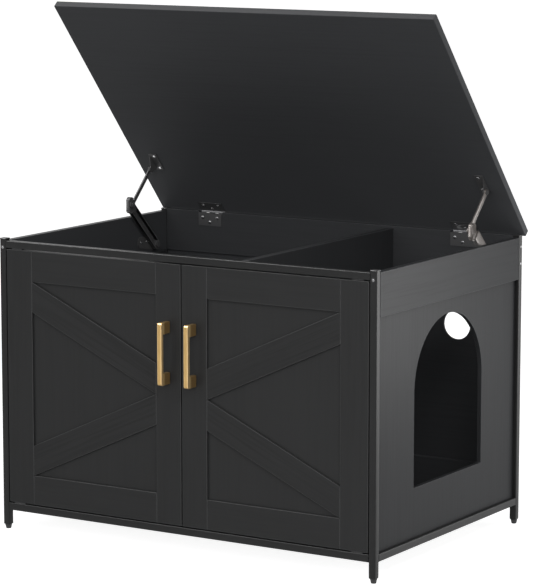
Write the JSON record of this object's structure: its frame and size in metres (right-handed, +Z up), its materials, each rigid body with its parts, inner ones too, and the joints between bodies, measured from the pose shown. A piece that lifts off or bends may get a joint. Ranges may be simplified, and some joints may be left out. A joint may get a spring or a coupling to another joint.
{
  "type": "cat litter box cabinet",
  "caption": "Low black cabinet on a square-tube frame with inset barn doors, brass bar handles, an arched side entrance, an inner divider and a flip-up lid on folding stays.",
  "frame": {"origin": "bottom centre of the bounding box, on the floor under the feet, with the lid open and the doors shut", "axes": "+Z up, +X to the right of someone facing the doors, -Y out of the doors"},
  "size_m": [0.912, 0.6622, 1.0965],
  "materials": {
    "frame_steel": "black powder coat, satin",
    "black_board": "black wood-grain foil on particle board, matt",
    "inner_board": "black foil on board, matt",
    "black_plastic": "moulded, matt",
    "hinge_steel": "dark nickel plate, satin",
    "stay_steel": "nickel plate, bright",
    "brass": "brushed"
  },
  "bodies": {
    "cabinet": {"post_front_left": "frame_steel", "foot_front_left": "black_plastic", "post_front_right": "frame_steel", "foot_front_right": "black_plastic", "post_rear_left": "frame_steel", "foot_rear_left": "black_plastic", "post_rear_right": "frame_steel", "foot_rear_right": "black_plastic", "rail_top_front": "frame_steel", "rail_bottom_front": "frame_steel", "rail_bottom_rear": "frame_steel", "rail_bottom_left": "frame_steel", "rail_bottom_right": "frame_steel", "board_upper_left": "black_board", "board_upper_right": "black_board", "board_upper_rear": "black_board", "panel_left": "black_board", "panel_right": "black_board", "panel_back": "inner_board", "strip_back": "inner_board", "floor_panel": "inner_board", "divider": "inner_board", "pivot_upper_left": "hinge_steel", "pivot_lower_left": "hinge_steel", "pivot_upper_right": "hinge_steel", "pivot_lower_right": "hinge_steel", "magnet_catch": "black_plastic", "hinge_left_leaf_frame": "hinge_steel", "stay_left_side_bracket": "stay_steel", "hinge_right_leaf_frame": "hinge_steel", "stay_right_side_bracket": "stay_steel"},
    "lid": {"lid_panel": "black_board", "hinge_left_leaf_lid": "hinge_steel", "stay_left_lid_bracket": "stay_steel", "hinge_right_leaf_lid": "hinge_steel", "stay_right_lid_bracket": "stay_steel"},
    "door_left": {"door_left_panel": "black_board", "door_left_stile_hinge": "black_board", "door_left_stile_middle": "black_board", "door_left_rail_upper": "black_board", "door_left_rail_lower": "black_board", "door_left_brace_upper": "black_board", "door_left_brace_lower": "black_board", "door_left_handle": "brass", "door_left_strike": "hinge_steel"},
    "door_right": {"door_right_panel": "black_board", "door_right_stile_hinge": "black_board", "door_right_stile_middle": "black_board", "door_right_rail_upper": "black_board", "door_right_rail_lower": "black_board", "door_right_brace_upper": "black_board", "door_right_brace_lower": "black_board", "door_right_handle": "brass", "door_right_strike": "hinge_steel"},
    "stay_left_lower": {"stay_left_lower_arm": "stay_steel"},
    "stay_left_upper": {"stay_left_upper_arm": "stay_steel"},
    "stay_right_lower": {"stay_right_lower_arm": "stay_steel"},
    "stay_right_upper": {"stay_right_upper_arm": "stay_steel"}
  },
  "joints": [
    {"name": "lid_hinge", "type": "hinge", "parent": "cabinet", "child": "lid", "pos_m": [0, 0.31472, 0.6148], "axis": [-1, 0, 0], "range_deg": [-49, 0]},
    {"name": "stay_left_foot", "type": "hinge", "parent": "cabinet", "child": "stay_left_lower", "pos_m": [-0.426, 0.24279, 0.54295], "axis": [-1, 0, 0], "range_deg": [-49.1, 0]},
    {"name": "stay_left_elbow", "type": "hinge", "parent": "stay_left_lower", "child": "stay_left_upper", "pos_m": [-0.4175, 0.13992, 0.643], "axis": [-1, 0, 0], "range_deg": [0, 49.1]},
    {"name": "stay_right_foot", "type": "hinge", "parent": "cabinet", "child": "stay_right_lower", "pos_m": [0.426, 0.24279, 0.54295], "axis": [-1, 0, 0], "range_deg": [-49.1, 0]},
    {"name": "stay_right_elbow", "type": "hinge", "parent": "stay_right_lower", "child": "stay_right_upper", "pos_m": [0.4175, 0.13992, 0.643], "axis": [-1, 0, 0], "range_deg": [0, 49.1]},
    {"name": "door_left_hinge", "type": "hinge", "parent": "cabinet", "child": "door_left", "pos_m": [-0.4085, -0.28828, 0.326], "axis": [0, 0, -1], "range_deg": [0, 100]},
    {"name": "door_right_hinge", "type": "hinge", "parent": "cabinet", "child": "door_right", "pos_m": [0.4085, -0.28828, 0.326], "axis": [0, 0, 1], "range_deg": [0, 100]}
  ],
  "couplings": [
    {"joint": "stay_left_foot", "follows": "lid_hinge", "ratio": 1},
    {"joint": "stay_left_elbow", "follows": "lid_hinge", "ratio": -1},
    {"joint": "stay_right_foot", "follows": "lid_hinge", "ratio": 1},
    {"joint": "stay_right_elbow", "follows": "lid_hinge", "ratio": -1}
  ]
}
